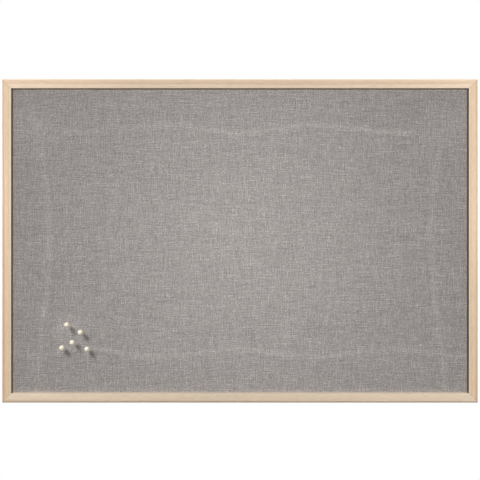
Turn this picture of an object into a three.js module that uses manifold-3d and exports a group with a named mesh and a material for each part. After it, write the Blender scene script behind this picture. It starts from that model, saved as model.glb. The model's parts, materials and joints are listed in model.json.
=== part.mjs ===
// A fabric pin board: a mitred wooden frame round a linen-covered cork panel, with five turned push pins.
// The panel goes in from behind and is held by framer's points. Two hangers and two bumpers face the wall.
// Millimetres, +Z up. The linen faces -Y, the wall is on the +Y side, and left and right are the viewer's.
// The origin is the middle of the top rail's back face.
import * as THREE from "three";
import { mergeVertices, toCreasedNormals } from "three/addons/utils/BufferGeometryUtils.js";
import Module from "manifold-3d";

// Opening that shows the linen: a stock 90 by 60 cm board
const sightWidth = 900;
const sightHeight = 600;

// Panel layers
const linenThickness = 0.7;
const corkThickness = 3;
const softboardThickness = 6;
const hardboardThickness = 2.5;
const hemWidth = 35;

// Frame moulding
const railFace = 19;
const lipCover = 6;
const lipDepth = 10;
const backRecess = 1.3;
const outerEdgeRadius = 4;
const sightEdgeRadius = 0.5;
const backEdgeRadius = 0.8;

// Corner nails: one bent steel wedge across each mitre
const nailLeg = 4.5;
const nailSteel = 0.6;
const nailHeight = 10;
const nailInset = 7.5;

// Framer's points: flat steel tongues driven into the rebate wall over the hardboard
const pointWidth = 7;
const pointSteel = 0.6;
const pointInWood = 6;
const pointOverBoard = 9;
const pointShoulder = 3;
const pointsPerRail = 4;
const pointsPerStile = 2;

// D-ring hangers, screwed to the backs of the stiles
const hangerAbovePoint = 40;
const strapWidth = 8;
const strapSteel = 0.8;
const strapPastHole = 5;
const ringWire = 2;
const ringStraight = 5.5;
const ringSidePlay = 0.5;
const ringFromEdge = 0.3;
const ringFromScrew = 0.3;

// Hanger screws
const screwShank = 2.6;
const screwLength = 12;
const screwTip = 3;
const screwHead = 5.4;
const screwHeadHeight = 1.8;
const recessWidth = 0.8;
const recessSpan = 3;
const recessDepth = 1.1;

// Wall bumpers
const bumperDiameter = 9;
const bumperEdgeRadius = 1.5;
const bumperFromEnd = 40;
const bumperOverStrap = 0.4;

// Push pins: a turned wooden ball that tapers to a small foot, with a steel needle.
// The taper starts at its angle, in degrees, under the ball's equator.
const ballRadius = 5.2;
const ballAboveFoot = 10.2;
const taperAngle = 35;
const footRadius = 2.2;
const needleDiameter = 1.1;
const needleLength = 12;
const needleTip = 3;
const needleInHead = 6;

// Where each needle enters the linen, from the left and bottom sight edges, its lean to the left
// and upwards in degrees, and how far its foot stays out of the linen.
const pins = [
  { left: 112.4, bottom: 128, leanLeft: 11, leanUp: 29, proud: 4.3 },
  { left: 139.4, bottom: 114, leanLeft: 11, leanUp: 26, proud: 4.4 },
  { left: 123.7, bottom: 92.7, leanLeft: 12, leanUp: 30, proud: 5.2 },
  { left: 102.9, bottom: 83.7, leanLeft: 15, leanUp: 28, proud: 2.6 },
  { left: 151.5, bottom: 81.7, leanLeft: 10, leanUp: 25, proud: 3 },
];

// Fits
const panelPlay = 1;
const seatGap = 0.2;
const glueLine = 0.1;
const mitreGap = 0.15;
const fastenerGap = 0.3;
const pivotGap = 0.3;

// Facets
const edgeSegments = 5;
const turnedSegments = 16;
const smallSegments = 12;
const wireSides = 8;
const wireSteps = 24;
const creaseAngle = Math.PI / 5;

// Sizes that follow from those above
const panelWidth = sightWidth + 2 * lipCover;
const panelHeight = sightHeight + 2 * lipCover;
const frameWidth = sightWidth + 2 * railFace;
const frameHeight = sightHeight + 2 * railFace;
const landWidth = railFace - lipCover - panelPlay;
const wrap = linenThickness + glueLine;
const coreWidth = panelWidth - 2 * wrap;
const coreHeight = panelHeight - 2 * wrap;
const linenFront = lipDepth + seatGap;
const corkFront = linenFront + wrap;
const softboardFront = corkFront + corkThickness + glueLine;
const hemFront = softboardFront + softboardThickness + glueLine;
const hardboardFront = hemFront + linenThickness + glueLine;
const hardboardBack = hardboardFront + hardboardThickness;
const railDepth = hardboardBack + backRecess;
const pointFront = hardboardBack + seatGap;
const topLand = frameHeight / 2 - landWidth / 2;
const upperPoint = sightHeight * (0.5 - 0.5 / pointsPerStile);
const hangerHeight = upperPoint + hangerAbovePoint;
const wireRadius = ringWire / 2;
const loopInside = wireRadius + pivotGap;
const loopOutside = loopInside + strapSteel;
const pivotOut = seatGap + loopOutside;
const strapTop = seatGap + 2 * strapSteel;
const ringHalf = strapWidth / 2 + ringSidePlay + wireRadius;
const ringReach = ringStraight + ringHalf;
const hangerInset = ringHalf + wireRadius + ringFromEdge;
const strapHole = ringReach + wireRadius + ringFromScrew + screwHead / 2;
const strapTail = strapHole + strapPastHole;
const ringLean = Math.asin((pivotOut - wireRadius - fastenerGap) / ringReach);
const wallStandOff = pivotOut + loopOutside + bumperOverStrap;
const needleRadius = needleDiameter / 2;

const wasm = await Module();
wasm.setup();

// Materials
function finish(color, roughness, metalness = 0) {
  return new THREE.MeshStandardMaterial({ color, roughness, metalness });
}

const palewood = finish(0xe3cba9, 0.6);
const linen = finish(0x9b9693, 0.95);
const cork = finish(0xb58a5c, 0.95);
const softboard = finish(0xa78f6e, 0.95);
const hardboard = finish(0x7a5a3c, 0.8);
const zincSteel = finish(0xb9bbbd, 0.35, 1);
const brightSteel = finish(0xd4d5d6, 0.25, 1);
const rubber = finish(0xd9d8d2, 0.7);
const pinwood = finish(0xefe3cb, 0.55);

// A closed geometry as a manifold-3d solid
function solid(geometry) {
  const bare = geometry.clone();
  bare.deleteAttribute("normal");
  bare.deleteAttribute("uv");
  const merged = mergeVertices(bare);
  const vertProperties = new Float32Array(merged.attributes.position.array);
  const triVerts = new Uint32Array(merged.index.array);
  return new wasm.Manifold(new wasm.Mesh({ numProp: 3, vertProperties, triVerts }));
}

// A manifold-3d solid as a geometry
function geometryOf(made) {
  const { vertProperties, triVerts } = made.getMesh();
  const geometry = new THREE.BufferGeometry();
  geometry.setAttribute("position", new THREE.BufferAttribute(vertProperties, 3));
  geometry.setIndex(new THREE.BufferAttribute(triVerts, 1));
  return geometry;
}

// The geometry less every cutter
function cut(geometry, cutters) {
  return geometryOf(cutters.reduce((rest, cutter) => rest.subtract(solid(cutter)), solid(geometry)));
}

// A named mesh with crisp edges
function piece(name, geometry, material) {
  const mesh = new THREE.Mesh(toCreasedNormals(geometry, creaseAngle), material);
  mesh.name = name;
  return mesh;
}

// A flat shape made thick along +Y. The shape's first axis is X and its second points down, to -Z.
function slab(shape, thickness, curveSegments = edgeSegments) {
  const options = { depth: thickness, bevelEnabled: false, curveSegments };
  return new THREE.ExtrudeGeometry(shape, options).rotateX(-Math.PI / 2);
}

// A rectangle centred on the origin, as a shape or as a hole in one
function rectangle(width, height, Kind = THREE.Shape) {
  const outline = new Kind();
  outline.moveTo(-width / 2, -height / 2);
  outline.lineTo(width / 2, -height / 2);
  outline.lineTo(width / 2, height / 2);
  outline.lineTo(-width / 2, height / 2);
  outline.closePath();
  return outline;
}

// A solid of revolution about +Y from a path of radius and height that starts and ends on the axis
function turned(path, segments) {
  return new THREE.LatheGeometry(path.getPoints(edgeSegments), segments);
}

// Frame

// The moulding's section: distance in from the outer edge, and depth with the back face at 0.
// A front face with eased edges, a lip over the panel and a rebate behind it.
function mouldingSection() {
  const front = -railDepth;
  const sightEdge = railFace - sightEdgeRadius;
  const section = new THREE.Shape();
  section.moveTo(0, front + outerEdgeRadius);
  section.absarc(outerEdgeRadius, front + outerEdgeRadius, outerEdgeRadius, Math.PI, 1.5 * Math.PI);
  section.lineTo(sightEdge, front);
  section.absarc(sightEdge, front + sightEdgeRadius, sightEdgeRadius, 1.5 * Math.PI, 2 * Math.PI);
  section.lineTo(railFace, front + lipDepth);
  section.lineTo(landWidth, front + lipDepth);
  section.lineTo(landWidth, 0);
  section.lineTo(backEdgeRadius, 0);
  section.absarc(backEdgeRadius, -backEdgeRadius, backEdgeRadius, 0.5 * Math.PI, Math.PI);
  section.closePath();
  return section;
}

// A length of moulding with mitred ends, along X. Its outer edge is up, at Z 0, and its back is at Y 0.
function mitredMoulding(length) {
  const options = { depth: length, bevelEnabled: false, curveSegments: edgeSegments };
  const geometry = new THREE.ExtrudeGeometry(mouldingSection(), options);
  const spots = geometry.attributes.position;
  for (let i = 0; i < spots.count; i++) {
    const end = length / 2 - spots.getX(i) - mitreGap;
    spots.setZ(i, spots.getZ(i) < length / 2 ? -end : end);
  }
  return geometry.rotateY(Math.PI / 2);
}

// A corner nail: two legs towards the outer edges of a right-hand corner, grown all round for its slot
function nailOutline(grow) {
  const half = nailSteel / 2 + grow;
  const tip = nailLeg + grow;
  const outline = new THREE.Shape();
  outline.moveTo(-half, half);
  outline.lineTo(-half, -tip);
  outline.lineTo(half, -tip);
  outline.lineTo(half, -half);
  outline.lineTo(tip, -half);
  outline.lineTo(tip, half);
  outline.closePath();
  return outline;
}

// The slot for the corner nail at one end of a moulding: side is 1 at the right-hand end and -1 at the left
function nailSlot(length, side) {
  const depth = nailHeight + fastenerGap;
  const slot = slab(nailOutline(fastenerGap), depth + seatGap).rotateY(side > 0 ? 0 : -Math.PI / 2);
  return slot.translate(side * (length / 2 - nailInset), -depth, -nailInset);
}

// The places of a row of framer's points along a moulding, evenly spaced
function pointPlaces(length, count) {
  return Array.from({ length: count }, (_, i) => ((i + 0.5) / count - 0.5) * (length - 2 * railFace));
}

// A framer's point: an arrow in the wood and a round-ended tongue over the board, from the rebate wall at 0
function pointOutline() {
  const half = pointWidth / 2;
  const outline = new THREE.Shape();
  outline.moveTo(0, -pointInWood);
  outline.lineTo(half, -pointInWood + pointShoulder);
  outline.lineTo(half, pointOverBoard - half);
  outline.absarc(0, pointOverBoard - half, half, 0, Math.PI);
  outline.lineTo(-half, -pointInWood + pointShoulder);
  outline.closePath();
  return outline;
}

// The slot in a moulding's rebate wall for a point at a place along it
function pointSlot(place) {
  const reach = pointInWood + fastenerGap;
  const front = pointFront - railDepth - fastenerGap;
  const slot = rectangle(pointWidth + 2 * fastenerGap, 2 * reach);
  return slab(slot, pointSteel + 2 * fastenerGap).translate(place, front, -landWidth);
}

// A rail or stile with the slots for its nails and points, and other holes
function rail(name, length, points, holes = []) {
  const slots = pointPlaces(length, points).map(pointSlot);
  const nails = [nailSlot(length, -1), nailSlot(length, 1)];
  return piece(name, cut(mitredMoulding(length), [...slots, ...nails, ...holes]), palewood);
}

// One side of the frame: its moulding and its framer's points, turned about Y to face out from the middle
function side(name, turn, length, distance, points, holes) {
  const group = new THREE.Group();
  group.rotation.y = turn;
  const moulding = rail(name, length, points, holes);
  moulding.position.z = distance;
  group.add(moulding);
  pointPlaces(length, points).forEach((place, i) => {
    const point = piece(`${name}_point_${i + 1}`, slab(pointOutline(), pointSteel), zincSteel);
    point.position.set(place, pointFront - railDepth, distance - landWidth);
    group.add(point);
  });
  return group;
}

// The pilot hole for a hanger screw: along is 1 on the left stile, and -1 on the right, whose X runs down
function pilotHole(along) {
  const radius = screwShank / 2 + fastenerGap;
  const hole = new THREE.CylinderGeometry(radius, radius, 2 * (screwLength + fastenerGap), smallSegments);
  return hole.translate(along * (hangerHeight - strapHole), 0, -hangerInset);
}

// A corner nail across a mitre, flush with the frame's back
function cornerNail(name, turn, x, z) {
  const bent = slab(nailOutline(0), nailHeight).translate(-nailInset, 0, -nailInset);
  const nail = piece(name, bent, zincSteel);
  nail.rotation.y = turn;
  nail.position.set(x, -nailHeight, z);
  return nail;
}

function frame() {
  const quarter = Math.PI / 2;
  const right = frameWidth / 2;
  const top = frameHeight / 2;
  const group = new THREE.Group();
  group.add(
    side("top_rail", 0, frameWidth, top, pointsPerRail),
    side("right_stile", quarter, frameHeight, right, pointsPerStile, [pilotHole(-1)]),
    side("bottom_rail", 2 * quarter, frameWidth, top, pointsPerRail),
    side("left_stile", -quarter, frameHeight, right, pointsPerStile, [pilotHole(1)]),
    cornerNail("corner_nail_top_right", 0, right, top),
    cornerNail("corner_nail_bottom_right", quarter, right, -top),
    cornerNail("corner_nail_bottom_left", 2 * quarter, -right, -top),
    cornerNail("corner_nail_top_left", -quarter, -right, top),
  );
  return group;
}

// Panel

// The pin's direction out of the board
function pinAxis(pin) {
  const sideways = Math.tan(THREE.MathUtils.degToRad(pin.leanLeft));
  const upwards = Math.tan(THREE.MathUtils.degToRad(pin.leanUp));
  return new THREE.Vector3(-sideways, -1, upwards).normalize();
}

// Where the pin's needle enters the linen
function pinEntry(pin) {
  return new THREE.Vector3(pin.left - sightWidth / 2, linenFront - railDepth, pin.bottom - sightHeight / 2);
}

// The turn that stands a pin made along +Y on its own direction
function pinTurn(pin) {
  return new THREE.Quaternion().setFromUnitVectors(new THREE.Vector3(0, 1, 0), pinAxis(pin));
}

// The hole that a pin's needle makes, as deep as its tip
function needleHole(pin) {
  const radius = needleRadius + fastenerGap;
  const depth = needleLength - pin.proud + fastenerGap;
  const hole = new THREE.CylinderGeometry(radius, radius, 2 * depth, smallSegments);
  return hole.applyQuaternion(pinTurn(pin)).translate(...pinEntry(pin));
}

// A board of the panel, centred in the frame, with its front at a depth behind the frame's front face
function board(width, height, front, thickness) {
  return slab(rectangle(width, height), thickness).translate(0, front - railDepth, 0);
}

// The linen: stretched over the cork, round the edges and turned in behind the softboard
function linenCover() {
  const linenBack = linenFront + linenThickness;
  const hemBack = hemFront + linenThickness;
  const wrapped = board(panelWidth, panelHeight, linenFront, hemBack - linenFront);
  const insideWidth = panelWidth - 2 * linenThickness;
  const insideHeight = panelHeight - 2 * linenThickness;
  const inside = board(insideWidth, insideHeight, linenBack, hemFront - linenBack);
  const openWidth = panelWidth - 2 * hemWidth;
  const openHeight = panelHeight - 2 * hemWidth;
  const open = board(openWidth, openHeight, hemFront - glueLine, linenThickness + 2 * glueLine);
  return piece("linen_cover", cut(wrapped, [inside, open, ...pins.map(needleHole)]), linen);
}

function panel() {
  const holes = pins.map(needleHole);
  const corkBoard = board(coreWidth, coreHeight, corkFront, corkThickness);
  const softBoard = board(coreWidth, coreHeight, softboardFront, softboardThickness);
  const backBoard = board(panelWidth, panelHeight, hardboardFront, hardboardThickness);
  const group = new THREE.Group();
  group.add(
    linenCover(),
    piece("cork_sheet", cut(corkBoard, holes), cork),
    piece("softboard_core", cut(softBoard, holes), softboard),
    piece("hardboard_back", backBoard, hardboard),
  );
  return group;
}

// Push pins

// The turned wooden head, from its foot at height 0, with a blind bore for the needle.
// The neck's curve leaves the foot upright and runs smoothly into the ball.
function pinHeadPath() {
  const bore = needleRadius + fastenerGap;
  const taper = THREE.MathUtils.degToRad(taperAngle);
  const shoulderRadius = ballRadius * Math.cos(taper);
  const shoulderHeight = ballAboveFoot - ballRadius * Math.sin(taper);
  const neckHeight = shoulderHeight - (shoulderRadius - footRadius) / Math.tan(taper);
  const path = new THREE.Path();
  path.moveTo(0, needleInHead + fastenerGap);
  path.lineTo(bore, needleInHead + fastenerGap);
  path.lineTo(bore, 0);
  path.lineTo(footRadius, 0);
  path.quadraticCurveTo(footRadius, neckHeight, shoulderRadius, shoulderHeight);
  path.absarc(0, ballAboveFoot, ballRadius, -taper, Math.PI / 2);
  return path;
}

// The steel needle, from its tip below the foot to its end inside the head
function needlePath() {
  const path = new THREE.Path();
  path.moveTo(0, -needleLength);
  path.lineTo(needleRadius, needleTip - needleLength);
  path.lineTo(needleRadius, needleInHead);
  path.lineTo(0, needleInHead);
  return path;
}

function pushPin(pin, number) {
  const group = new THREE.Group();
  group.quaternion.copy(pinTurn(pin));
  group.position.copy(pinEntry(pin)).addScaledVector(pinAxis(pin), pin.proud);
  group.add(
    piece(`pin_${number}_head`, turned(pinHeadPath(), turnedSegments), pinwood),
    piece(`pin_${number}_needle`, turned(needlePath(), smallSegments), brightSteel),
  );
  return group;
}

// D-ring hangers: each in its own frame on the back of a stile, with X across it, Y to the wall and Z up

// The strap from the side: a strip folded round the ring's bar, with both tails flat on the stile
function strapSide() {
  const foldStart = Math.PI + Math.asin((pivotOut - strapTop) / loopOutside);
  const outline = new THREE.Shape();
  outline.moveTo(-strapTail, seatGap);
  outline.lineTo(0, seatGap);
  outline.absarc(0, pivotOut, loopOutside, -Math.PI / 2, foldStart);
  outline.lineTo(-strapTail, strapTop);
  outline.closePath();
  const bar = new THREE.Path();
  bar.absarc(0, pivotOut, loopInside, 0, 2 * Math.PI);
  outline.holes.push(bar);
  return outline;
}

// The strap from behind: a round-ended tab with the screw's hole
function strapPlan() {
  const half = strapWidth / 2;
  const outline = new THREE.Shape();
  outline.moveTo(-half, -2 * loopOutside);
  outline.lineTo(half, -2 * loopOutside);
  outline.lineTo(half, strapTail - half);
  outline.absarc(0, strapTail - half, half, 0, Math.PI);
  outline.closePath();
  const hole = new THREE.Path();
  hole.absarc(0, strapHole, screwShank / 2 + fastenerGap, 0, 2 * Math.PI);
  outline.holes.push(hole);
  return outline;
}

function hangerStrap(name) {
  const options = { depth: strapWidth, bevelEnabled: false, curveSegments: smallSegments };
  const folded = new THREE.ExtrudeGeometry(strapSide(), options);
  // The outline's first axis becomes Z and its second Y, so the strip's width lies along X.
  const upright = new THREE.Matrix4().makeBasis(
    new THREE.Vector3(0, 0, 1),
    new THREE.Vector3(0, 1, 0),
    new THREE.Vector3(-1, 0, 0),
  );
  folded.applyMatrix4(upright).translate(strapWidth / 2, 0, 0);
  const tab = slab(strapPlan(), 2 * wallStandOff, smallSegments).translate(0, -wallStandOff / 2, 0);
  return piece(name, geometryOf(solid(folded).intersect(solid(tab))), zincSteel);
}

// The D-ring: a wire bow closed by a straight bar, standing up from the bar along Z
function ringGeometry() {
  const spots = [new THREE.Vector3(-ringHalf, 0, 0), new THREE.Vector3(-ringHalf, 0, ringStraight / 2)];
  for (let i = 0; i <= wireSides; i++) {
    const angle = Math.PI * (1 - i / wireSides);
    spots.push(new THREE.Vector3(ringHalf * Math.cos(angle), 0, ringStraight + ringHalf * Math.sin(angle)));
  }
  spots.push(new THREE.Vector3(ringHalf, 0, ringStraight / 2), new THREE.Vector3(ringHalf, 0, 0));
  const wire = new THREE.Shape().absarc(0, 0, wireRadius, 0, 2 * Math.PI);
  const extrudePath = new THREE.CatmullRomCurve3(spots);
  const bow = new THREE.ExtrudeGeometry(wire, { extrudePath, steps: wireSteps, curveSegments: wireSides });
  const bar = new THREE.CylinderGeometry(wireRadius, wireRadius, 2 * ringHalf + ringWire, wireSides);
  return geometryOf(solid(bow).add(solid(bar.rotateZ(Math.PI / 2))));
}

function hangerRing(name) {
  const ring = piece(name, ringGeometry(), brightSteel);
  ring.position.y = pivotOut;
  ring.rotation.x = ringLean;
  return ring;
}

// A pan-head wood screw with a cross recess, its head's underside at height 0 and its tip in the stile
function screwGeometry() {
  const path = new THREE.Path();
  path.moveTo(0, -screwLength);
  path.lineTo(screwShank / 2, screwTip - screwLength);
  path.lineTo(screwShank / 2, 0);
  path.lineTo(screwHead / 2, 0);
  path.quadraticCurveTo(screwHead / 2, screwHeadHeight, 0, screwHeadHeight);
  const slot = new THREE.BoxGeometry(recessSpan, 2 * recessDepth, recessWidth);
  slot.translate(0, screwHeadHeight, 0);
  return cut(turned(path, smallSegments), [slot, slot.clone().rotateY(Math.PI / 2)]);
}

function hangerScrew(name) {
  const screw = piece(name, screwGeometry(), brightSteel);
  screw.position.set(0, strapTop + seatGap, -strapHole);
  return screw;
}

function hanger(name, x) {
  const group = new THREE.Group();
  group.position.set(x, 0, hangerHeight);
  group.add(
    hangerStrap(`${name}_hanger_strap`),
    hangerRing(`${name}_hanger_ring`),
    hangerScrew(`${name}_hanger_screw`),
  );
  return group;
}

// A round rubber bumper on the bottom rail's back, as thick as the hangers
function bumper(name, x) {
  const radius = bumperDiameter / 2;
  const path = new THREE.Path();
  path.moveTo(0, glueLine);
  path.lineTo(radius, glueLine);
  path.lineTo(radius, wallStandOff - bumperEdgeRadius);
  path.absarc(radius - bumperEdgeRadius, wallStandOff - bumperEdgeRadius, bumperEdgeRadius, 0, Math.PI / 2);
  path.lineTo(0, wallStandOff);
  const mesh = piece(name, turned(path, turnedSegments), rubber);
  mesh.position.set(x, 0, -topLand);
  return mesh;
}

// The whole board, made about the middle of the frame and then set on its origin
const memoBoard = new THREE.Group();
const hangerX = frameWidth / 2 - hangerInset;
const bumperX = frameWidth / 2 - bumperFromEnd;
memoBoard.add(
  frame(),
  panel(),
  ...pins.map((pin, i) => pushPin(pin, i + 1)),
  hanger("left", -hangerX),
  hanger("right", hangerX),
  bumper("left_bumper", -bumperX),
  bumper("right_bumper", bumperX),
);
memoBoard.position.z = -topLand;

export default memoBoard;
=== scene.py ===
"""A linen pin board in a pale wood frame: cloth, pins, finishes, light and camera round the CAD model.

Metres. X runs to the right, Y towards the wall and Z up, so the board faces -Y.
"""

import json
import math

import bmesh
import bpy
from mathutils import Matrix, Vector, noise


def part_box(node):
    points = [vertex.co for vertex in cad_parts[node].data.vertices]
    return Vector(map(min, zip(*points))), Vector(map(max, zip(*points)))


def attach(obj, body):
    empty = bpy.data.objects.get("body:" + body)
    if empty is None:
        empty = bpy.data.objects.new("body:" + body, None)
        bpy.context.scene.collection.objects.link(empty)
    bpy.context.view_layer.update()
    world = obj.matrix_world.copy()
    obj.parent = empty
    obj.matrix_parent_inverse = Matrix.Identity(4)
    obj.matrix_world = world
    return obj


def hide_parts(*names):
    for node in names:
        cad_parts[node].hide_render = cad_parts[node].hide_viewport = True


MM = 0.001

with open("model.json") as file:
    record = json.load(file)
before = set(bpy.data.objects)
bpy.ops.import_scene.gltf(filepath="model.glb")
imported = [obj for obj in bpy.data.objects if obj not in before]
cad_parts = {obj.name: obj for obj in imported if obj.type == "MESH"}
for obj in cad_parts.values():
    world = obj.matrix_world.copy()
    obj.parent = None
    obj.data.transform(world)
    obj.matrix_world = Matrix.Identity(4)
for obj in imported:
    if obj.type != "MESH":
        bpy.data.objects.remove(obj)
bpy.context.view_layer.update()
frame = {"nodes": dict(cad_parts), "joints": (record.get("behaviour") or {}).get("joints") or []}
nodes = frame["nodes"]
slides = [joint for joint in frame["joints"] if joint["type"] == "slide"]
pin_axes = {joint["child"]: Vector(joint["axis"]).normalized() for joint in slides}

# Sizes read from the frame
rails = ["top_rail", "bottom_rail", "left_stile", "right_stile"]
outer_low = Vector(min(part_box(rail)[0][axis] for rail in rails) for axis in range(3))
outer_high = Vector(max(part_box(rail)[1][axis] for rail in rails) for axis in range(3))
centre = (outer_low + outer_high) / 2
frame_width = outer_high.x - outer_low.x
rail_low, rail_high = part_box("top_rail")
rail_face = rail_high.z - rail_low.z
linen_low, linen_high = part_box("linen_cover")

# Wood: each rail's tint, how far its face bands are shifted (in face widths), the colour of its outer rim,
# a painted highlight, and that of the wall inside its lip, painted shade, with painted light on the bottom
# rail
RAIL_LOOKS = {
    "top_rail": dict(tint=(0.985, 0.965, 0.955), shift=0.25, painted_rim_highlight=(242, 220, 195), painted_wall_shading=(142, 124, 103)),
    "bottom_rail": dict(tint=(0.995, 0.985, 0.975), shift=0.55, painted_rim_highlight=(246, 226, 204), painted_wall_shading=(188, 175, 157)),
    "left_stile": dict(tint=(0.965, 0.955, 0.935), shift=0.0, painted_rim_highlight=(229, 202, 172), painted_wall_shading=(142, 124, 103)),
    "right_stile": dict(tint=(0.965, 0.95, 0.93), shift=0.0, painted_rim_highlight=(229, 201, 171), painted_wall_shading=(134, 117, 97)),
}

# Painted rim highlight: how far in from the outer edge it is full and ends; and how near the wall the painted
# wall shade starts
RIM_FULL = 1 * MM
RIM_END = 3.4 * MM
PAINTED_WALL_EDGE = 0.3 * MM

# Bands across the face from the outer edge inwards, a tan one near that edge, by place on the face and
# colour, and how far they wander
FACE_BANDS = [
    (0.17, (212, 180, 148)),
    (0.36, (234, 206, 176)),
    (0.56, (231, 210, 184)),
    (0.76, (224, 201, 174)),
    (0.94, (238, 219, 196)),
]
BAND_WANDER = 0.1

# Grain: the length and width of each kind of streak, how far the pattern moves on from rail to rail, and the
# range of shade that each kind gives
WANDER_STREAK = (450 * MM, 9 * MM)
FLECK_STREAK = (16 * MM, 2.8 * MM)
PORE_STREAK = (60 * MM, 0.9 * MM)
CLOUD_STREAK = (160 * MM, 50 * MM)
GRAIN_SHIFT = (3.7, 1.9, 2.3)
FLECK_SHADE = (1.055, 0.945)
PORE_SHADE = (1.03, 0.95)
CLOUD_SHADE = (0.97, 1.03)

# How facets are shaded as one surface, and how edges are eased
WELD_DISTANCE = 0.001 * MM
SMOOTH_ANGLE = math.radians(30)
EASE_ANGLE = math.radians(40)
RAIL_EASE = 0.25 * MM
STRAP_EASE = 0.1 * MM
NAIL_EASE = 0.06 * MM
SCREW_EASE = 0.05 * MM

# How the linen is cut, folded and stretched; the outer share of the slack's margin stays taut
LINEN_THICKNESS = 0.7 * MM
LINEN_HEM = 35 * MM
LINEN_FOLD = 1.2 * MM
LINEN_GRID = 5 * MM
LINEN_SLACK = 0.1 * MM
SLACK_LENGTH = 55 * MM
SLACK_MARGIN = 40 * MM
TAUT_SHARE = 0.3
FOLD_TURNS = [math.radians(angle) for angle in (30, 60, 90)]
PUCKER_DEPTH = 0.35 * MM
PUCKER_RADIUS = 3.5 * MM

# Weave: thread spacing, how long a thick pale or thin dark stretch of thread is, how much it crowds the
# threads beside it and how far apart in the noise they lie, how far threads wander and over what length,
# the height of the weave, fibres, and bands of many threads
THREAD_PITCH = 1.3 * MM
WARP_SLUB = 30 * MM
WEFT_SLUB = 38 * MM
SLUB_CROWDING = 0.18
SLUB_LANE = 7.31
THREAD_SWAY = 0.6 * MM
SWAY_LENGTH = 80 * MM
THREAD_WOBBLE = 0.12 * MM
WOBBLE_LENGTH = 5 * MM
WEAVE_RELIEF = 0.15 * MM
FIBRE_WIDTH = 0.4 * MM
FIBRE_LENGTH = 5 * MM
BAND_WIDTH = 14 * MM
BAND_LENGTH = 220 * MM

# Linen colours: the greys of a thread by its tone, how much less green and blue they have, and the range of
# shade from float to float, from hollow to crest (painted shade in the hollows), along fibres and across
# bands
THREAD_GREYS = [(0.11, 106), (0.27, 143), (0.37, 158), (0.53, 195)]
LESS_GREEN = 5
LESS_BLUE = 8
FLOAT_SHADE = (0.79, 1.23)
HOLLOW_PAINTED_SHADE = (0.64, 1.0)
FIBRE_SHADE = (0.8, 1.2)
BAND_SHADE = (0.98, 1.02)

# Pale lines where the cloth was pulled tight: how far in from the panel's edge, how far they bow inwards and
# in how many waves, how wide they are, how far they spread and how pale that is in the upper corners, how
# much paler the cloth gets, and over what length that changes
UPRIGHT_PULL = (52 * MM, 26 * MM, 1)
LEVEL_PULL = (76 * MM, 15 * MM, 3)
PULL_WIDTH = 6 * MM
PULL_SPREAD = 38 * MM
SPREAD_PALENESS = 1.3
PALER_BY = (0.08, 0.16)
PALE_PATCH = 30 * MM

# A painted glow, paler cloth near the pins: how far up and to the left of the pins' middle, how far it
# reaches, how pale
PAINTED_GLOW_ASIDE = 20 * MM
PAINTED_GLOW_RADIUS = 28 * MM
PAINTED_GLOW_PALENESS = 1.7

# Turned pin heads
NECK_ANGLE = math.radians(35)
FOOT_EDGE = 0.25 * MM
FOOT_SLICE = 0.1 * MM
BALL_STEPS = 20
NECK_STEPS = 6
TURNED_STEPS = 40

# Camera: how far in front of the board and above its middle, and how much of the picture the board fills
CAMERA_DISTANCE = 1.1
CAMERA_RISE = 1.7 * MM
FRAME_SHARE = 477 / 480

# Light: the share of a white surface's brightness that each lamp gives a surface facing the camera, where the
# lamp stands or which way its light travels, and how wide or large it is
AMBIENT = 0.036
WOOD_LIGHT = 0.4
WOOD_LIGHT_ANGLE = math.radians(58)
WOOD_LIGHT_SPREAD = 0.25
SIDE_LIGHT = 0.56
SIDE_LIGHT_OUT = 0.43
SIDE_LIGHT_FRONT = 0.68
SIDE_LIGHT_RISE = 0.16
SIDE_LIGHT_SIZE = 0.15
PIN_KEY = 0.52
PIN_KEY_TRAVEL = Vector((0.68, 1.0, -1.08)).normalized()
PIN_KEY_SPREAD = 0.35
EVEN_FILL = 0.15
FRONT_FILL = 0.53
FRONT_FILL_DISTANCE = 0.45
FRONT_FILL_RISE = 0.02
FRONT_FILL_SIZE = 0.12
BACK_LIGHT = 0.62
BACK_LIGHT_TRAVEL = Vector((0.7, -0.65, -0.1)).normalized()
BACK_LIGHT_SPREAD = 0.5

# Floor: how far below the board it lies, how far it reaches and from where it fades
FLOOR_DROP = 1.3
FLOOR_RADIUS = 0.9
FLOOR_FADE = 0.4
FLOOR_SIDES = 96

# Noise lies mostly between these
NOISE_LOW = 0.3
NOISE_HIGH = 0.7


def srgb(red, green, blue):
    """A linear colour from 0-255 screen values."""
    screen = [value / 255 for value in (red, green, blue)]
    linear = [v / 12.92 if v <= 0.04045 else ((v + 0.055) / 1.055) ** 2.4 for v in screen]
    return (*linear, 1.0)


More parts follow.
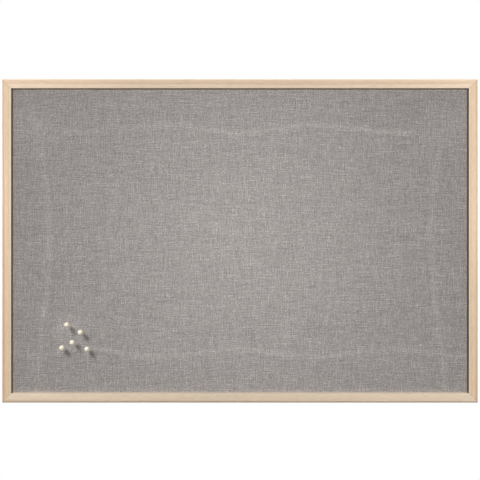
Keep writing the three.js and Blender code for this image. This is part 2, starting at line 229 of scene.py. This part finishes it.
class Finish:
    """A procedural material, with short ways to add and join its nodes."""

    def __init__(self, name, constants):
        self.material = bpy.data.materials.new(name)
        self.material.use_nodes = True
        self.tree = self.material.node_tree
        self.surface = self.tree.nodes["Principled BSDF"]
        for socket, value in constants.items():
            self.surface.inputs[socket].default_value = value
        self.place = self.add("ShaderNodeTexCoord").outputs["Object"]

    def add(self, kind, inputs=None, **settings):
        """One node; an input is a number, a colour or another node's output."""
        node = self.tree.nodes.new(kind)
        for setting, value in settings.items():
            setattr(node, setting, value)
        for socket, value in (inputs or {}).items():
            if isinstance(value, bpy.types.NodeSocket):
                self.tree.links.new(value, node.inputs[socket])
            else:
                node.inputs[socket].default_value = value
        return node

    def math(self, operation, first, second=0.0):
        """One step of arithmetic."""
        return self.add("ShaderNodeMath", {0: first, 1: second}, operation=operation).outputs[0]

    def scaled(self, value, factor, base):
        """The value times a factor, on top of a base."""
        return self.math("ADD", self.math("MULTIPLY", value, factor), base)

    def rising(self, value, start, end):
        """0 where the value is at the start, 1 where it is at the end, and no less or more beyond."""
        inputs = {"Value": value, "From Min": start, "From Max": end}
        return self.add("ShaderNodeMapRange", inputs).outputs["Result"]

    def split(self, vector):
        """The X, Y and Z of a vector."""
        return self.add("ShaderNodeSeparateXYZ", {0: vector}).outputs

    def joined(self, x, y, z=0.0):
        """A vector from its X, Y and Z."""
        return self.add("ShaderNodeCombineXYZ", {0: x, 1: y, 2: z}).outputs[0]

    def stretched(self, lengths, shift=(0, 0, 0)):
        """The object's own coordinates in units of a length for each axis, moved along the pattern."""
        inputs = {"Vector": self.place, "Scale": [1 / length for length in lengths], "Location": shift}
        return self.add("ShaderNodeMapping", inputs).outputs[0]

    def noise(self, vector, detail=2.0, roughness=0.5):
        """Soft noise, about one unit from light to dark."""
        inputs = {"Vector": vector, "Scale": 1.0, "Detail": detail, "Roughness": roughness}
        return self.add("ShaderNodeTexNoise", inputs).outputs["Fac"]

    def grain(self, length, detail=2.0, roughness=0.5):
        """Noise of one grain size in every direction."""
        return self.noise(self.stretched((length, length, length)), detail, roughness)

    def between(self, value, low, high):
        """Noise spread between two numbers."""
        usual = {"From Min": NOISE_LOW, "From Max": NOISE_HIGH}
        inputs = {"Value": value, **usual, "To Min": low, "To Max": high}
        return self.add("ShaderNodeMapRange", inputs).outputs["Result"]

    def either(self, choice, first, second):
        """The first number where choice is 0, the second where it is 1."""
        return self.add("ShaderNodeMix", {0: choice, 2: first, 3: second}, data_type="FLOAT").outputs[0]

    def ramp(self, factor, stops):
        """The colour at a factor, blended between stops of place and colour."""
        node = self.add("ShaderNodeValToRGB", {"Fac": factor})
        elements = node.color_ramp.elements
        while len(elements) < len(stops):
            elements.new(0.5)
        for element, (position, colour) in zip(elements, stops):
            element.position = position
            element.color = colour
        return node.outputs["Color"]

    def mottled(self, value, dark, light):
        """Noise as a colour from dark to light."""
        return self.ramp(value, [(NOISE_LOW, dark), (NOISE_HIGH, light)])

    def blend(self, share, first, second):
        """The first colour where share is 0, the second where it is 1."""
        return self.add("ShaderNodeMix", {0: share, 6: first, 7: second}, data_type="RGBA").outputs[2]

    def dimmed(self, colour, amount):
        """The colour times a grey amount."""
        inputs = {0: 1.0, 6: colour, 7: self.joined(amount, amount, amount)}
        return self.add("ShaderNodeMix", inputs, data_type="RGBA", blend_type="MULTIPLY").outputs[2]

    def bump(self, height, distance):
        """Fine relief, with the distance that a height of 1 stands for."""
        node = self.add("ShaderNodeBump", {"Height": height, "Distance": distance})
        self.tree.links.new(node.outputs[0], self.surface.inputs["Normal"])

    def paint(self, colour, roughness=None):
        """The finished material with its colour and, where it changes, its roughness."""
        self.tree.links.new(colour, self.surface.inputs["Base Color"])
        if roughness is not None:
            self.tree.links.new(roughness, self.surface.inputs["Roughness"])
        return self.material


# Materials


def frame_wood(rail, along, grain_shift):
    """Pale sanded pine: face bands that run with the rail, tan near the outer edge, flecks, fine pores and a
    slow change of tone. The outer rim gets a painted highlight, and the narrow wall inside the lip gets
    painted shade, with painted light on the bottom rail."""
    finish = Finish(f"{rail}_wood", {"Specular IOR Level": 0.2})
    look = RAIL_LOOKS[rail]
    across = 2 - along

    def streaks(size, detail):
        length, width = size
        lengths = [length if axis == along else width for axis in range(3)]
        return finish.noise(finish.stretched(lengths, grain_shift), detail)

    wander = finish.between(streaks(WANDER_STREAK, detail=2.0), -BAND_WANDER, BAND_WANDER)
    flecks = streaks(FLECK_STREAK, detail=2.0)
    pores = streaks(PORE_STREAK, detail=3.0)
    cloud = streaks(CLOUD_STREAK, detail=1.0)
    off_middle = finish.math("SUBTRACT", finish.split(finish.place)[across], centre[across])
    half_outer = outer_high[across] - centre[across]
    inwards = finish.math("SUBTRACT", half_outer, finish.math("ABSOLUTE", off_middle))
    band = finish.math("ADD", finish.math("DIVIDE", inwards, rail_face), wander)
    band = finish.math("ADD", band, look["shift"])

    def tinted(screen):
        return srgb(*(value * tint for value, tint in zip(screen, look["tint"])))

    # Bands by distance from the outer edge, a tan one near it
    colour = finish.ramp(band, [(place, tinted(screen)) for place, screen in FACE_BANDS])
    # Painted highlight: the outer rim painted paler
    rim_highlight_share = finish.rising(inwards, RIM_END, RIM_FULL)
    colour = finish.blend(rim_highlight_share, colour, srgb(*look["painted_rim_highlight"]))
    # Painted shade on the wall inside the lip; on the bottom rail a paler tone, painted light from above
    painted_wall_shading = finish.math("GREATER_THAN", inwards, rail_face - PAINTED_WALL_EDGE)
    colour = finish.blend(painted_wall_shading, colour, srgb(*look["painted_wall_shading"]))
    for grain, shade in ((flecks, FLECK_SHADE), (pores, PORE_SHADE), (cloud, CLOUD_SHADE)):
        colour = finish.dimmed(colour, finish.between(grain, *shade))
    finish.bump(pores, distance=0.06 * MM)
    return finish.paint(colour, roughness=finish.between(pores, low=0.5, high=0.66))


def past_pull(finish, across, along, half_across, half_along, pull):
    """How far a place lies outside the wavy pull lines on both sides of the panel."""
    inset, bow, waves = pull
    turn = finish.math("MULTIPLY", along, waves * math.pi / half_along)
    wave = finish.math("MULTIPLY", finish.math("COSINE", turn), bow / 2)
    line = finish.math("SUBTRACT", half_across - inset - bow / 2, wave)
    return finish.math("SUBTRACT", finish.math("ABSOLUTE", across), line)


def close_by(finish, distance, width):
    """1 where a distance is nothing, falling softly to 0 past the width."""
    share = finish.math("DIVIDE", distance, width)
    falling = finish.math("MULTIPLY", finish.math("MULTIPLY", share, share), -1.0)
    return finish.math("EXPONENT", falling)


def pulled_cloth(finish, x, z):
    """How pale the pulling makes the cloth: 1 on the upright and level lines, more in the upper corners."""
    half_width = (linen_high.x - linen_low.x) / 2
    half_height = (linen_high.z - linen_low.z) / 2
    x_off = finish.math("SUBTRACT", x, centre.x)
    z_off = finish.math("SUBTRACT", z, centre.z)
    past_upright = past_pull(finish, x_off, z_off, half_width, half_height, UPRIGHT_PULL)
    past_level = past_pull(finish, z_off, x_off, half_height, half_width, LEVEL_PULL)
    top_line = half_height - LEVEL_PULL[0]
    below_top = finish.rising(z_off, top_line + PULL_SPREAD, top_line)
    upright = finish.math("MULTIPLY", close_by(finish, past_upright, PULL_WIDTH), below_top)
    level = close_by(finish, past_level, PULL_WIDTH)
    spread = [close_by(finish, past, PULL_SPREAD) for past in (past_upright, past_level)]
    upper = finish.math("MULTIPLY", finish.math("GREATER_THAN", z_off, 0.0), SPREAD_PALENESS)
    patch = finish.math("MULTIPLY", finish.math("MULTIPLY", *spread), upper)
    return finish.math("MAXIMUM", finish.math("MAXIMUM", upright, level), patch)


def painted_glow_by_pins(finish, x, z, entries):
    """How pale the painted glow makes the cloth above and to the left of the pins."""
    middle = sum(entries, Vector()) / len(entries)
    x_off = finish.math("SUBTRACT", x, middle.x - PAINTED_GLOW_ASIDE)
    z_off = finish.math("SUBTRACT", z, middle.z + PAINTED_GLOW_ASIDE)
    spot = finish.math("MULTIPLY", *(close_by(finish, off, PAINTED_GLOW_RADIUS) for off in (x_off, z_off)))
    return finish.math("MULTIPLY", spot, PAINTED_GLOW_PALENESS)


def linen_weave(entries):
    """Plain-woven slubby linen: each thread has its own changing tone and shows at every second crossing."""
    sheen = {"Sheen Weight": 0.12, "Sheen Roughness": 0.6}
    finish = Finish("linen", {"Roughness": 0.95, "Specular IOR Level": 0.15, **sheen})
    x, _, z = finish.split(finish.place)
    sway = finish.between(finish.grain(SWAY_LENGTH, detail=1.0), -THREAD_SWAY, THREAD_SWAY)
    wobble = finish.between(finish.grain(WOBBLE_LENGTH, detail=1.0), -THREAD_WOBBLE, THREAD_WOBBLE)
    warp_x = finish.math("ADD", finish.math("ADD", x, sway), wobble)
    weft_z = finish.math("SUBTRACT", finish.math("ADD", z, wobble), sway)

    def slub_tone(number, along, slub_length):
        """A numbered thread's own tone as it changes along the thread."""
        lane = finish.math("MULTIPLY", number, SLUB_LANE)
        slub = finish.joined(lane, finish.math("DIVIDE", along, slub_length))
        return finish.noise(slub, detail=3.5, roughness=0.7)

    def thread(across, along, slub_length, phase):
        """A thread's height at this place as it goes over and under, its tone, and this float's tone."""
        count = finish.math("DIVIDE", across, THREAD_PITCH)
        number = finish.math("FLOOR", count)
        cycle = finish.math("ADD", finish.math("DIVIDE", along, THREAD_PITCH), number)
        cycle = finish.math("ADD", cycle, phase)
        back = finish.math("SQRT", finish.math("MULTIPLY", finish.math("PINGPONG", count, 0.5), 2.0))
        wave = finish.math("COSINE", finish.math("MULTIPLY", cycle, math.pi))
        height = finish.math("ADD", back, finish.math("MULTIPLY", wave, 0.5))
        tone = slub_tone(number, along, slub_length)
        for step in (-1, 1):
            beside = slub_tone(finish.math("ADD", number, step), along, slub_length)
            tone = finish.math("SUBTRACT", tone, finish.math("MULTIPLY", beside, SLUB_CROWDING))
        float_number = finish.math("ROUND", finish.math("MULTIPLY", cycle, 0.5))
        crossing = {"Vector": finish.joined(finish.math("ADD", number, phase), float_number)}
        speck = finish.add("ShaderNodeTexWhiteNoise", crossing, noise_dimensions="2D").outputs["Value"]
        return height, tone, speck

    def upright(width, length):
        """Noise drawn out along the warp."""
        return finish.noise(finish.stretched((width, width, length)), detail=1.0)

    def level(width, length):
        """Noise drawn out along the weft."""
        return finish.noise(finish.stretched((length, width, width)), detail=1.0)

    warp_height, *warp_tones = thread(warp_x, weft_z, WARP_SLUB, phase=-0.5)
    weft_height, *weft_tones = thread(weft_z, warp_x, WEFT_SLUB, phase=0.5)
    weft_over = finish.math("GREATER_THAN", weft_height, warp_height)
    relief = finish.math("MAXIMUM", warp_height, weft_height)
    tone, speck = (finish.either(weft_over, *pair) for pair in zip(warp_tones, weft_tones))
    fibre = finish.either(weft_over, upright(FIBRE_WIDTH, FIBRE_LENGTH), level(FIBRE_WIDTH, FIBRE_LENGTH))
    greys = [(stop, srgb(grey, grey - LESS_GREEN, grey - LESS_BLUE)) for stop, grey in THREAD_GREYS]
    colour = finish.ramp(tone, greys)
    # The weave's hollows are darkened: painted shade between the threads
    for share, (low, high) in ((speck, FLOAT_SHADE), (relief, HOLLOW_PAINTED_SHADE)):
        colour = finish.dimmed(colour, finish.scaled(share, factor=high - low, base=low))
    colour = finish.dimmed(colour, finish.between(fibre, *FIBRE_SHADE))
    for band in (upright(BAND_WIDTH, BAND_LENGTH), level(BAND_WIDTH, BAND_LENGTH)):
        colour = finish.dimmed(colour, finish.between(band, *BAND_SHADE))
    # A painted glow: the cloth near the pins painted paler, on top of the pale pull lines
    pale = finish.math("MAXIMUM", pulled_cloth(finish, x, z), painted_glow_by_pins(finish, x, z, entries))
    paler_by = finish.between(finish.grain(PALE_PATCH), *PALER_BY)
    colour = finish.dimmed(colour, finish.scaled(pale, factor=paler_by, base=1.0))
    finish.bump(relief, WEAVE_RELIEF)
    return finish.paint(colour)


def turned_wood():
    """Pale close-grained wood of the pin heads, its grain along the needles."""
    finish = Finish("pin_wood", {"Specular IOR Level": 0.3})
    rings = finish.noise(finish.stretched(lengths=(1.6 * MM, 7 * MM, 1.6 * MM)))
    fleck = finish.grain(length=0.9 * MM)
    light, middle, dark = srgb(249, 242, 225), srgb(244, 234, 214), srgb(228, 211, 182)
    colour = finish.ramp(rings, [(0.3, light), (0.55, middle), (0.8, dark)])
    colour = finish.dimmed(colour, finish.between(fleck, low=0.96, high=1.03))
    finish.bump(fleck, distance=0.03 * MM)
    return finish.paint(colour, roughness=finish.between(fleck, low=0.36, high=0.48))


def plated_steel(name, bright, dark, roughness):
    """Plated steel with faint rolling marks and a mottled bloom."""
    finish = Finish(name, {"Metallic": 1.0})
    bloom = finish.grain(length=2.4 * MM, detail=3.0)
    marks = finish.noise(finish.stretched(lengths=(1.1 * MM, 1.1 * MM, 0.16 * MM)), detail=1.0)
    colour = finish.mottled(bloom, dark, bright)
    finish.bump(marks, distance=0.008 * MM)
    uneven = finish.between(bloom, low=roughness - 0.07, high=roughness + 0.1)
    return finish.paint(colour, roughness=uneven)


def pressed_board(name, light, dark, screen):
    """Pressed brown fibres with flecks, and the print of the wire screen that the board was pressed on."""
    finish = Finish(name, {"Specular IOR Level": 0.2})
    fibre = finish.grain(length=1.1 * MM, detail=4.0, roughness=0.65)
    fleck = finish.noise(finish.stretched(lengths=(9 * MM, 9 * MM, 2.5 * MM)), detail=3.0)
    patch = finish.grain(length=45 * MM, detail=3.0)
    x, _, z = finish.split(finish.place)
    wires = [finish.math("PINGPONG", finish.math("DIVIDE", axis, screen), 0.5) for axis in (x, z)]
    dimple = finish.math("MULTIPLY", *wires)
    colour = finish.mottled(fibre, dark, light)
    colour = finish.dimmed(colour, finish.between(patch, low=0.88, high=1.1))
    colour = finish.dimmed(colour, finish.between(fleck, low=0.9, high=1.08))
    colour = finish.dimmed(colour, finish.scaled(dimple, factor=0.4, base=0.95))
    finish.bump(dimple, distance=0.12 * MM)
    return finish.paint(colour, roughness=finish.between(fibre, low=0.7, high=0.9))


def cork_crumbs():
    """Bound cork crumbs, each with its own tone and dark joints."""
    finish = Finish("cork", {"Roughness": 0.9, "Specular IOR Level": 0.2})
    crumbs = finish.add("ShaderNodeTexVoronoi", {"Vector": finish.stretched([2.2 * MM] * 3), "Scale": 1.0})
    gap = crumbs.outputs["Distance"]
    tone = finish.grain(length=1.2 * MM)
    colour = finish.mottled(tone, dark=srgb(150, 108, 68), light=srgb(202, 160, 112))
    colour = finish.dimmed(colour, finish.between(gap, low=1.05, high=0.85))
    finish.bump(gap, distance=-0.2 * MM)
    return finish.paint(colour)


def soft_rubber():
    """Milky bumper rubber with a dusty bloom."""
    finish = Finish("rubber", {"Specular IOR Level": 0.4})
    bloom = finish.grain(length=1.4 * MM, detail=3.0)
    colour = finish.mottled(bloom, dark=srgb(206, 204, 196), light=srgb(222, 221, 214))
    finish.bump(bloom, distance=0.02 * MM)
    return finish.paint(colour, roughness=finish.between(bloom, low=0.45, high=0.62))


# Shading of the CAD solids


def smooth_across(limit):
    """A modifier group that shades a solid's facets as one surface and keeps edges sharper than the limit."""
    group = bpy.data.node_groups.new("smooth_facets", "GeometryNodeTree")
    group.interface.new_socket("Geometry", in_out="INPUT", socket_type="NodeSocketGeometry")
    group.interface.new_socket("Geometry", in_out="OUTPUT", socket_type="NodeSocketGeometry")
    start = group.nodes.new("NodeGroupInput")
    joined = group.nodes.new("GeometryNodeMergeByDistance")
    joined.inputs["Distance"].default_value = WELD_DISTANCE
    angle = group.nodes.new("GeometryNodeInputMeshEdgeAngle")
    sharp = group.nodes.new("FunctionNodeCompare")
    sharp.operation = "GREATER_THAN"
    sharp.inputs["B"].default_value = limit
    shaded = group.nodes.new("GeometryNodeSetMeshNormal")
    shaded.mode = "SHARPNESS"
    shaded.inputs["Remove Custom"].default_value = True
    end = group.nodes.new("NodeGroupOutput")
    group.links.new(start.outputs[0], joined.inputs["Geometry"])
    group.links.new(joined.outputs[0], shaded.inputs["Mesh"])
    group.links.new(angle.outputs["Unsigned Angle"], sharp.inputs["A"])
    group.links.new(sharp.outputs[0], shaded.inputs["Edge Sharpness"])
    group.links.new(shaded.outputs[0], end.inputs[0])
    return group


def dress(node, material, ease=0.0):
    """Gives a CAD node its material, smooth facets and slightly eased edges."""
    piece = nodes[node]
    piece.data.materials.clear()
    piece.data.materials.append(material)
    piece.modifiers.new("smooth", "NODES").node_group = smooth_group
    if ease:
        bevel = piece.modifiers.new("eased", "BEVEL")
        bevel.width = ease
        bevel.segments = 2
        bevel.limit_method = "ANGLE"
        bevel.angle_limit = EASE_ANGLE
        bevel.harden_normals = True


# Pieces made here


def piece_of(mesh, name, body, material, node):
    """A finished mesh as a smooth piece that rides on a body and stands for a CAD node."""
    made = bpy.data.meshes.new(name)
    mesh.to_mesh(made)
    mesh.free()
    made.materials.append(material)
    made.shade_smooth()
    piece = bpy.data.objects.new(name, made)
    bpy.context.scene.collection.objects.link(piece)
    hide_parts(node)
    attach(piece, body)
    return piece


def linen_depth(x, z, entries):
    """How far the cloth's face lies behind flat: slack swells it forward and each needle puckers it."""
    room = min(x - linen_low.x, linen_high.x - x, z - linen_low.z, linen_high.z - z)
    settle = min(1.0, max(0.0, room / SLACK_MARGIN - TAUT_SHARE))
    swell = 0.5 + 0.5 * noise.noise(Vector((x, 0.0, z)) / SLACK_LENGTH)
    depth = -LINEN_SLACK * swell * settle
    for entry in entries:
        gap = math.hypot(x - entry.x, z - entry.z) / PUCKER_RADIUS
        depth += PUCKER_DEPTH * math.exp(-gap * gap)
    return depth


def even_steps(low, high, spacing):
    """Places from low to high, evenly apart by about the spacing."""
    count = round((high - low) / spacing)
    return [low + (high - low) * step / count for step in range(count + 1)]


def fold_path():
    """How the cloth goes from the face's edge round the panel to its hem: steps outwards and depth."""
    front, back, radius = linen_low.y, linen_high.y, LINEN_FOLD
    over_front = [(radius * math.sin(t), front + radius * (1 - math.cos(t))) for t in FOLD_TURNS]
    over_back = [(radius * math.cos(t), back - radius * (1 - math.sin(t))) for t in FOLD_TURNS]
    return over_front + [(radius, back - radius)] + over_back + [(radius - LINEN_HEM, back)]


def linen_sheet(material, entries):
    """The cloth stretched over the panel's face, round its edges and turned in behind as a hem."""
    columns = even_steps(linen_low.x + LINEN_FOLD, linen_high.x - LINEN_FOLD, LINEN_GRID)
    rows = even_steps(linen_low.z + LINEN_FOLD, linen_high.z - LINEN_FOLD, LINEN_GRID)
    mesh = bmesh.new()
    face = []
    for z in rows:
        face.append([mesh.verts.new((x, linen_low.y + linen_depth(x, z, entries), z)) for x in columns])
    for lower, upper in zip(face, face[1:]):
        for i in range(len(columns) - 1):
            mesh.faces.new((lower[i], lower[i + 1], upper[i + 1], upper[i]))

    last_column = len(columns) - 1
    last_row = len(rows) - 1
    border = [(i, 0) for i in range(last_column)]
    border += [(last_column, j) for j in range(last_row)]
    border += [(i, last_row) for i in range(last_column, 0, -1)]
    border += [(0, j) for j in range(last_row, 0, -1)]
    ring = [face[j][i] for i, j in border]
    for out, y in fold_path():
        wider = []
        for i, j in border:
            x = columns[i] + out * ((i == last_column) - (i == 0))
            z = rows[j] + out * ((j == last_row) - (j == 0))
            wider.append(mesh.verts.new((x, y, z)))
        for k in range(len(border)):
            mesh.faces.new((ring[k - 1], wider[k - 1], wider[k], ring[k]))
        ring = wider

    piece = piece_of(mesh, "linen_stretched", "board", material, "linen_cover")
    skin = piece.modifiers.new("cloth", "SOLIDIFY")
    skin.thickness = LINEN_THICKNESS
    skin.offset = -1.0
    return piece


def pin_measure(node, axis):
    """Foot point, foot radius, ball height and ball radius of a pin head, read from its solid."""
    spots = [vertex.co for vertex in nodes[node].data.vertices]
    middle = sum(spots, Vector()) / len(spots)
    heights = [(spot - middle).dot(axis) for spot in spots]
    reaches = [(spot - middle - axis * height).length for spot, height in zip(spots, heights)]
    base = min(heights)
    ball_radius = max(reaches)
    foot_radius = max(reach for reach, height in zip(reaches, heights) if height < base + FOOT_SLICE)
    return middle + axis * base, foot_radius, max(heights) - base - ball_radius, ball_radius


def pin_outline(foot_radius, ball_height, ball_radius):
    """Radius and height up a pin head: a small foot, a hollow neck and a ball."""
    shoulder = (ball_radius * math.cos(NECK_ANGLE), ball_height - ball_radius * math.sin(NECK_ANGLE))
    bend = (foot_radius, shoulder[1] - (shoulder[0] - foot_radius) / math.tan(NECK_ANGLE))
    neck = ((foot_radius, FOOT_EDGE), bend, shoulder)
    outline = [(0.0, 0.0), (foot_radius - FOOT_EDGE, 0.0)]
    for step in range(NECK_STEPS):
        t = step / NECK_STEPS
        shares = ((1 - t) ** 2, 2 * t * (1 - t), t * t)
        radius, height = (sum(share * point[k] for share, point in zip(shares, neck)) for k in (0, 1))
        outline.append((radius, height))
    for step in range(BALL_STEPS + 1):
        angle = -NECK_ANGLE + (math.pi / 2 + NECK_ANGLE) * step / BALL_STEPS
        outline.append((ball_radius * math.cos(angle), ball_height + ball_radius * math.sin(angle)))
    return outline


def pin_head(number, material):
    """One turned pin head in the place of its solid."""
    body = f"pin_{number}"
    axis = pin_axes[body]
    foot, *sizes = pin_measure(f"{body}_head", axis)
    mesh = bmesh.new()
    spots = [mesh.verts.new((radius, 0.0, height)) for radius, height in pin_outline(*sizes)]
    lines = [mesh.edges.new(pair) for pair in zip(spots, spots[1:])]
    turn = {"axis": (0, 0, 1), "cent": (0, 0, 0), "angle": 2 * math.pi, "steps": TURNED_STEPS}
    bmesh.ops.spin(mesh, geom=spots + lines, **turn)
    bmesh.ops.remove_doubles(mesh, verts=mesh.verts, dist=WELD_DISTANCE)
    bmesh.ops.recalc_face_normals(mesh, faces=mesh.faces)
    mesh.transform(Matrix.Translation(foot) @ axis.to_track_quat("Z", "Y").to_matrix().to_4x4())
    return piece_of(mesh, f"{body}_knob", body, material, f"{body}_head")


def pin_entry(number):
    """Where a pin's needle goes through the linen's face."""
    axis = pin_axes[f"pin_{number}"]
    foot = pin_measure(f"pin_{number}_head", axis)[0]
    return foot + axis * ((linen_low.y - foot.y) / axis.y)


# Stage


def lamp(name, kind, strength, travel, **settings):
    """A lamp whose light travels one way."""
    data = bpy.data.lights.new(name, kind)
    data.energy = strength
    for setting, value in settings.items():
        setattr(data, setting, value)
    made = bpy.data.objects.new(name, data)
    made.rotation_euler = Vector(travel).to_track_quat("-Z", "Y").to_euler()
    made.visible_camera = False
    bpy.context.scene.collection.objects.link(made)
    return made


def linked(name, pieces, state="INCLUDE"):
    """A light-linking group: only these pieces, or all but these."""
    group = bpy.data.collections.new(name)
    for piece in pieces:
        group.objects.link(piece)
    for entry in group.collection_objects:
        entry.light_linking.link_state = state
    return group


def point_power(share, distance, slant=1.0):
    """The power of a point lamp that gives its share at a distance, to a surface with a cosine of slant."""
    return share * (2 * math.pi * distance) ** 2 / slant


def stage_light(linen, pins):
    """Soft light from above and lamps beside the board for the wood, a key from the upper left that gives the
    pins their shadows, fills in front of the cloth, and lights behind the board for its back and sides."""
    cloth_and_pins = linked("cloth_and_pins", [linen, *pins])
    all_but_those = linked("all_but_those", [linen, *pins], "EXCLUDE")

    down = Vector((0, math.cos(WOOD_LIGHT_ANGLE), -math.sin(WOOD_LIGHT_ANGLE)))
    above = lamp("wood_light", "SUN", WOOD_LIGHT * math.pi / down.y, down, angle=WOOD_LIGHT_SPREAD)
    above.light_linking.receiver_collection = all_but_those
    reach = math.hypot(SIDE_LIGHT_OUT, SIDE_LIGHT_FRONT)
    power = point_power(SIDE_LIGHT, reach, SIDE_LIGHT_FRONT / reach)
    for across in (outer_low.x - SIDE_LIGHT_OUT, outer_high.x + SIDE_LIGHT_OUT):
        beside = lamp("side_light", "POINT", power, (0, 1, 0), shadow_soft_size=SIDE_LIGHT_SIZE)
        beside.location = (across, outer_low.y - SIDE_LIGHT_FRONT, centre.z + SIDE_LIGHT_RISE)
        beside.light_linking.receiver_collection = all_but_those

    key = lamp("pin_key", "SUN", PIN_KEY * math.pi / PIN_KEY_TRAVEL.y, PIN_KEY_TRAVEL, angle=PIN_KEY_SPREAD)
    key.light_linking.blocker_collection = linked("pins_only", pins)
    power = point_power(FRONT_FILL, FRONT_FILL_DISTANCE)
    fill = lamp("front_fill", "POINT", power, (0, 1, 0), shadow_soft_size=FRONT_FILL_SIZE, use_shadow=False)
    fill.location = (centre.x, linen_low.y - FRONT_FILL_DISTANCE, centre.z + FRONT_FILL_RISE)
    even = lamp("even_fill", "SUN", EVEN_FILL * math.pi, (0, 1, 0), use_shadow=False)
    for light in (key, fill, even):
        light.light_linking.receiver_collection = cloth_and_pins

    for side in (1, -1):
        travel = BACK_LIGHT_TRAVEL * Vector((side, 1, 1))
        lamp("back_light", "SUN", BACK_LIGHT * math.pi, travel, angle=BACK_LIGHT_SPREAD)


def looking_rays(tree):
    """1 for rays that look at a surface or mirror it, 0 for rays that carry light."""
    path = tree.nodes.new("ShaderNodeLightPath")
    seen = path.outputs["Is Camera Ray"]
    for ray in ("Is Glossy Ray", "Is Transmission Ray"):
        either = tree.nodes.new("ShaderNodeMath")
        either.operation = "MAXIMUM"
        tree.links.new(seen, either.inputs[0])
        tree.links.new(path.outputs[ray], either.inputs[1])
        seen = either.outputs[0]
    return seen


def white_world():
    """A white surround for the eye and for reflections, with a low even light."""
    world = bpy.data.worlds.new("surround")
    world.use_nodes = True
    tree = world.node_tree
    background = tree.nodes["Background"]
    background.inputs["Color"].default_value = (1, 1, 1, 1)
    level = tree.nodes.new("ShaderNodeMapRange")
    level.inputs["To Min"].default_value = AMBIENT
    tree.links.new(looking_rays(tree), level.inputs["Value"])
    tree.links.new(level.outputs["Result"], background.inputs["Strength"])
    bpy.context.scene.world = world


def pale_floor():
    """A pale round floor well below the hung board, fading into the white surround."""
    mesh = bmesh.new()
    bmesh.ops.create_circle(mesh, cap_ends=True, segments=FLOOR_SIDES, radius=FLOOR_RADIUS)
    made = bpy.data.meshes.new("floor")
    mesh.to_mesh(made)
    mesh.free()
    floor = bpy.data.objects.new("floor", made)
    floor.location = (centre.x, 0, outer_low.z - FLOOR_DROP)
    bpy.context.scene.collection.objects.link(floor)
    finish = Finish("floor", {"Roughness": 0.9, "Specular IOR Level": 0.1})
    tone = finish.grain(length=25 * MM)
    finish.paint(finish.mottled(tone, dark=srgb(236, 235, 233), light=srgb(242, 241, 240)))
    reach = finish.add("ShaderNodeVectorMath", {0: finish.place}, operation="LENGTH").outputs["Value"]
    fade = finish.rising(reach, FLOOR_FADE, FLOOR_RADIUS)
    white = finish.add("ShaderNodeEmission", {"Color": (1, 1, 1, 1), "Strength": 1.0})
    share = finish.math("MULTIPLY", fade, looking_rays(finish.tree))
    both = {0: share, 1: finish.surface.outputs[0], 2: white.outputs[0]}
    faded = finish.add("ShaderNodeMixShader", both).outputs[0]
    finish.tree.links.new(faded, finish.tree.nodes["Material Output"].inputs["Surface"])
    made.materials.append(finish.material)


def front_camera():
    """Square on to the board, a little above its middle."""
    data = bpy.data.cameras.new("camera")
    data.lens = data.sensor_width * CAMERA_DISTANCE / (frame_width / FRAME_SHARE)
    camera = bpy.data.objects.new("camera", data)
    camera.location = (centre.x, outer_low.y - CAMERA_DISTANCE, centre.z + CAMERA_RISE)
    camera.rotation_euler = (math.pi / 2, 0, 0)
    bpy.context.scene.collection.objects.link(camera)
    bpy.context.scene.camera = camera


smooth_group = smooth_across(SMOOTH_ANGLE)

# Frame
for index, rail in enumerate(rails):
    along = 0 if rail.endswith("rail") else 2
    grain_shift = [index * step for step in GRAIN_SHIFT]
    dress(rail, frame_wood(rail, along, grain_shift), ease=RAIL_EASE)

# Panel layers and back
dress("cork_sheet", cork_crumbs())
softboard = pressed_board("softboard", light=srgb(178, 154, 120), dark=srgb(150, 128, 98), screen=3 * MM)
hardboard = pressed_board("hardboard", light=srgb(146, 110, 76), dark=srgb(116, 85, 57), screen=1.6 * MM)
dress("softboard_core", softboard)
dress("hardboard_back", hardboard)

# Steel and rubber
zinc = plated_steel("zinc_steel", bright=srgb(200, 202, 204), dark=srgb(168, 171, 175), roughness=0.38)
nickel = plated_steel("bright_steel", bright=srgb(224, 223, 220), dark=srgb(200, 199, 196), roughness=0.24)
steel = plated_steel("needle_steel", bright=srgb(214, 214, 214), dark=srgb(184, 185, 187), roughness=0.22)
rubber = soft_rubber()
for node in nodes:
    if "nail" in node or "_point_" in node:
        dress(node, zinc, ease=NAIL_EASE)
    elif node.endswith("strap"):
        dress(node, zinc, ease=STRAP_EASE)
    elif node.endswith("ring"):
        dress(node, nickel)
    elif node.endswith("screw"):
        dress(node, nickel, ease=SCREW_EASE)
    elif node.endswith("bumper"):
        dress(node, rubber)
    elif node.endswith("needle"):
        dress(node, steel)

# Cloth and pins
pin_numbers = range(1, len(pin_axes) + 1)
entries = [pin_entry(number) for number in pin_numbers]
linen = linen_sheet(linen_weave(entries), entries)
pin_finish = turned_wood()
knobs = [pin_head(number, pin_finish) for number in pin_numbers]
needles = [nodes[f"pin_{number}_needle"] for number in pin_numbers]

# Light, floor and camera
stage_light(linen, knobs + needles)
white_world()
pale_floor()
front_camera()
bpy.context.scene.view_settings.view_transform = "Standard"
